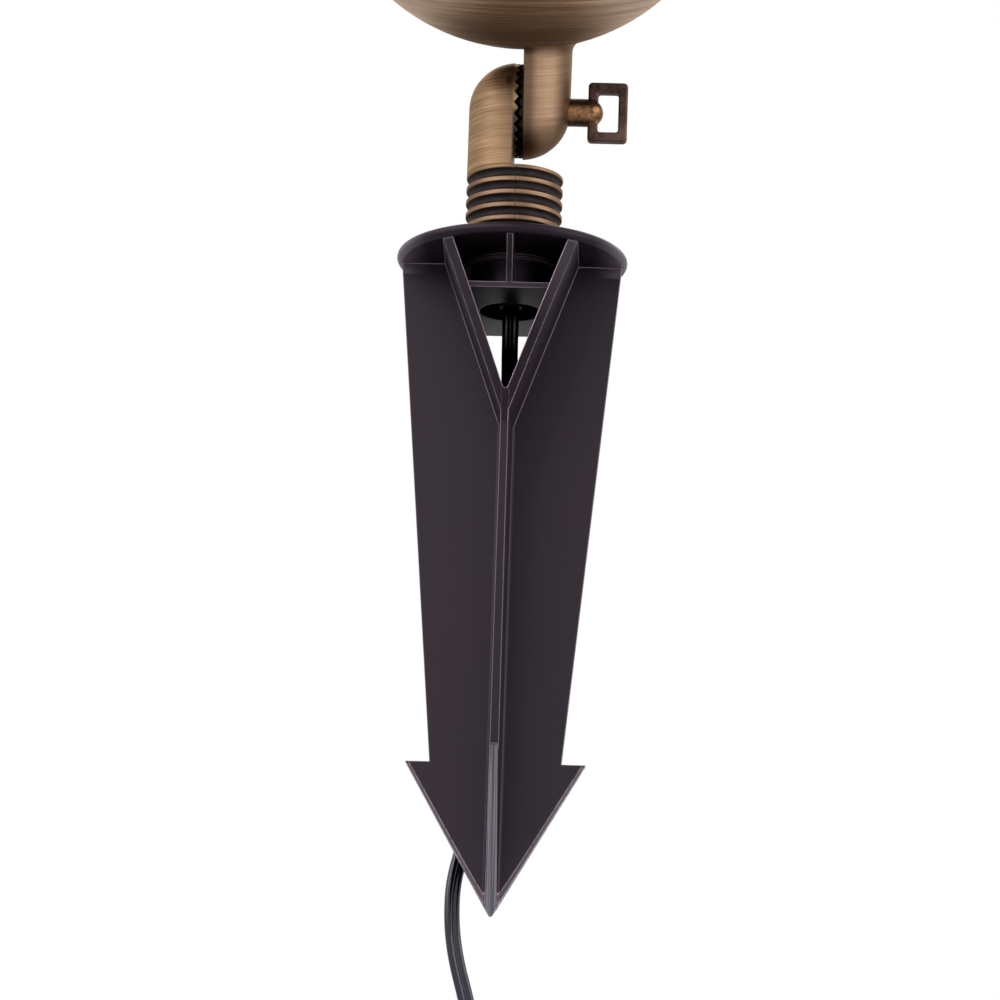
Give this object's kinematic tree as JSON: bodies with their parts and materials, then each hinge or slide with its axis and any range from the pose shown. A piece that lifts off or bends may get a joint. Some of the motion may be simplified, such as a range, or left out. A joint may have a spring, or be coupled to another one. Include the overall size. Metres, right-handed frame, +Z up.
{
  "type": "garden spotlight",
  "caption": "Brass spotlight with a toothed tilting knuckle and thumb screw on a barbed plastic ground stake, with a flat cable.",
  "frame": {"origin": "centre of the flange's underside, where the stake meets the ground", "axes": "+Z up along the neck, +X along the pivot axis towards the thumb screw, -Y to the front"},
  "size_m": [0.1321, 0.1468, 0.5072],
  "materials": {
    "stake": "moulded, dark aubergine grey",
    "brass": "brushed and aged",
    "rubber": "matt black",
    "cable": "satin black jacket",
    "tie": "black nylon",
    "copper": "bare copper",
    "core_white": "white insulation",
    "core_black": "black insulation",
    "bush": "plain bronze",
    "sleeve": "clear yellow",
    "tab": "tinned",
    "lamp": "die cast, bright cup",
    "board": "white board",
    "driver": "green board",
    "optic": "clear moulded",
    "glass": "clear",
    "gasket": "grey silicone",
    "screw": "stainless"
  },
  "bodies": {
    "base": {"stake": "stake", "knuckle_base": "brass", "face_ring": "rubber", "cable_gland": "rubber", "neck_leads": "core_black", "supply_cable": "cable", "cable_hank": "cable", "hank_tie": "tie", "core_ends": "core_black", "stripped_ends": "copper"},
    "carriage": {"pivot_bush": "bush"},
    "screw": {"thumb_screw": "brass", "shaft_ring": "rubber"},
    "head": {"bowl_housing": "brass", "bowl_grommet": "rubber", "lead_black": "core_black", "lead_white": "core_white", "lead_sleeves": "sleeve", "lamp_tabs": "tab", "lamp_body": "lamp", "driver_board": "driver", "led_board": "board", "led_optics": "optic", "lamp_lens": "glass", "lamp_ring": "rubber", "lens_gasket": "gasket", "cover_glass": "glass", "bezel": "brass", "bezel_screws": "screw"}
  },
  "joints": [
    {"name": "knuckle_clamp", "type": "slide", "parent": "base", "child": "carriage", "axis": [1, 0, 0], "range_m": [-0.00127, 0]},
    {"name": "head_tilt", "type": "hinge", "parent": "carriage", "child": "head", "pos_m": [0, 0, 0.04984], "axis": [1, 0, 0], "range_deg": [-96.92, 41.54]},
    {"name": "thumb_screw_turn", "type": "hinge", "parent": "carriage", "child": "screw", "pos_m": [0, 0, 0.04984], "axis": [1, 0, 0], "range_deg": [-360.5, 0.5]}
  ],
  "couplings": [
    {"joint": "thumb_screw_turn", "follows": "knuckle_clamp", "rad_per_m": 4947.4}
  ]
}
